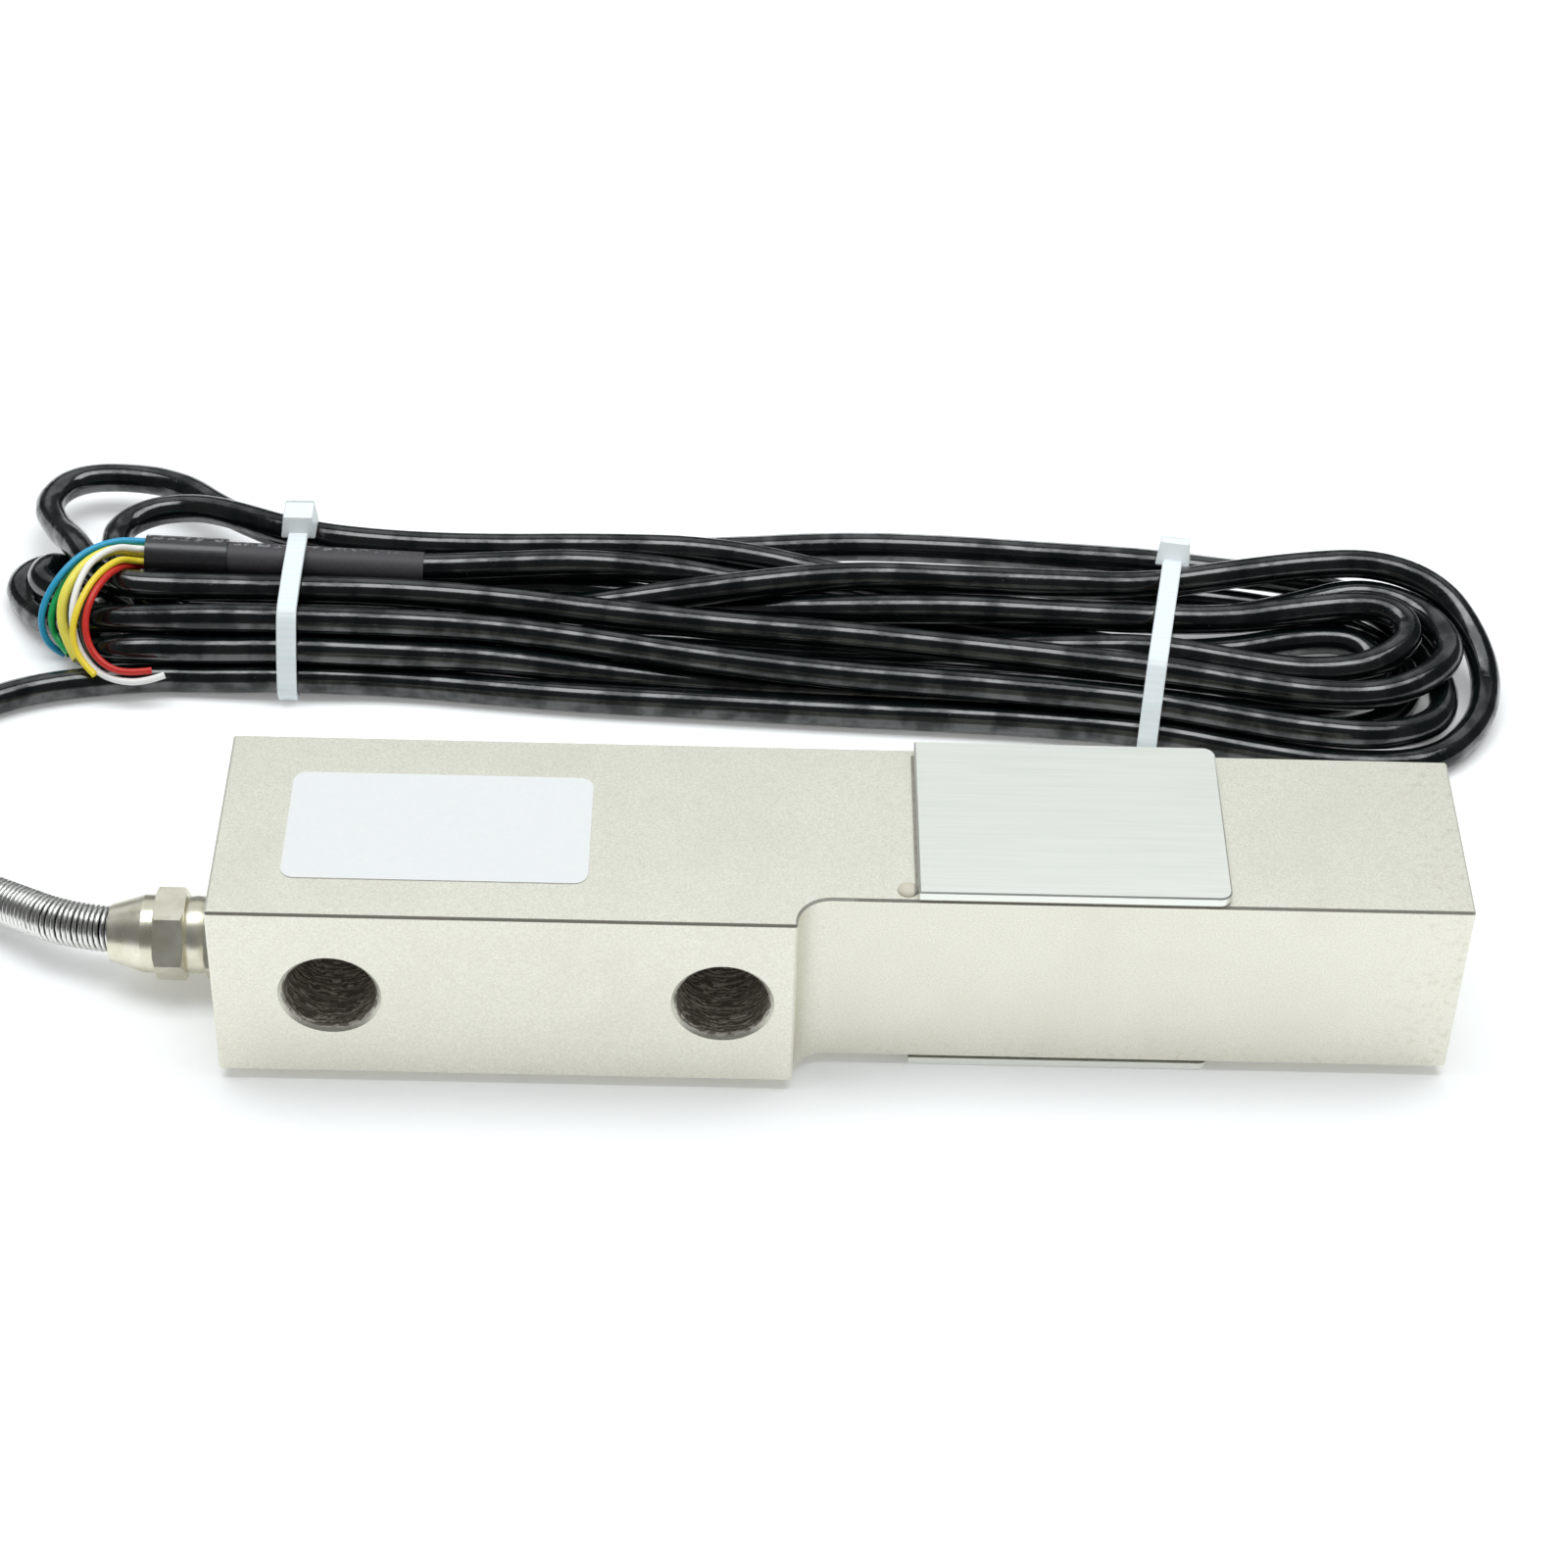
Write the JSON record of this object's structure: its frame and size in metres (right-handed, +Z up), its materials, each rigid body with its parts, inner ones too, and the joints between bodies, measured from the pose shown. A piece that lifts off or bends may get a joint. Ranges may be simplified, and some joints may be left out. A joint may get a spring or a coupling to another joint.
{
  "type": "shear beam weighing load cell",
  "caption": "Steel shear beam load cell with a stepped mounting pad, glued cover plates, and a gland-fed cable wound into a tied hank with bare conductors.",
  "frame": {"origin": "on the surface the cell lies on, under the middle of the beam's box", "axes": "+X along the beam from the cable end to the loaded end, +Y from the pad's mounting face to the back, +Z up"},
  "size_m": [0.2953, 0.1558, 0.0393],
  "materials": {
    "plated_steel": "nickel plated, satin, faint grain",
    "plate_aluminium": "brushed",
    "cover_glue": "dark, matte",
    "label_film": "bare white, matte",
    "gauge_foil": "amber foil carrier",
    "board": "green glass-fibre board",
    "resistor": "black, matte",
    "enamelled_copper": "enamelled copper wire",
    "core_jackets": "insulated cores",
    "potting_gel": "soft silicone gel",
    "nickelled_brass": "nickel plated, bright",
    "black_rubber": "matte black",
    "nylon_ring": "natural nylon",
    "spring_steel": "bright stainless wire",
    "cable_jacket": "glossy black",
    "tie_nylon": "translucent white nylon",
    "heat_shrink": "dark grey, matte",
    "wire_blue": "blue insulation",
    "wire_green": "green insulation",
    "wire_shield": "yellow sleeving over the screen",
    "wire_white": "white insulation",
    "wire_black": "black insulation",
    "wire_yellow": "yellow insulation",
    "wire_red": "red insulation"
  },
  "bodies": {
    "root": {"beam_body": "plated_steel", "upper_cover_bead": "cover_glue", "upper_cover_plate": "plate_aluminium", "lower_cover_bead": "cover_glue", "lower_cover_plate": "plate_aluminium", "rating_label": "label_film", "upper_strain_gauge": "gauge_foil", "lower_strain_gauge": "gauge_foil", "upper_terminal_board": "board", "lower_terminal_board": "board", "trim_resistors": "resistor", "bridge_leads": "enamelled_copper", "core_bundle": "core_jackets", "core_leads": "core_jackets", "upper_potting": "potting_gel", "lower_potting": "potting_gel", "gland_body": "nickelled_brass", "gland_o_ring": "black_rubber", "gland_seal": "black_rubber", "clamp_ring": "nylon_ring", "cap_nut": "nickelled_brass", "strain_relief_spring": "spring_steel", "cable_lead": "cable_jacket", "cable_hank": "cable_jacket", "cable_tie_left": "tie_nylon", "cable_tie_right": "tie_nylon", "heat_shrink_long": "heat_shrink", "heat_shrink_end": "heat_shrink", "wire_blue": "wire_blue", "wire_green": "wire_green", "wire_shield_sleeve": "wire_shield", "wire_white": "wire_white", "wire_black": "wire_black", "wire_yellow": "wire_yellow", "wire_red": "wire_red"}
  },
  "joints": []
}
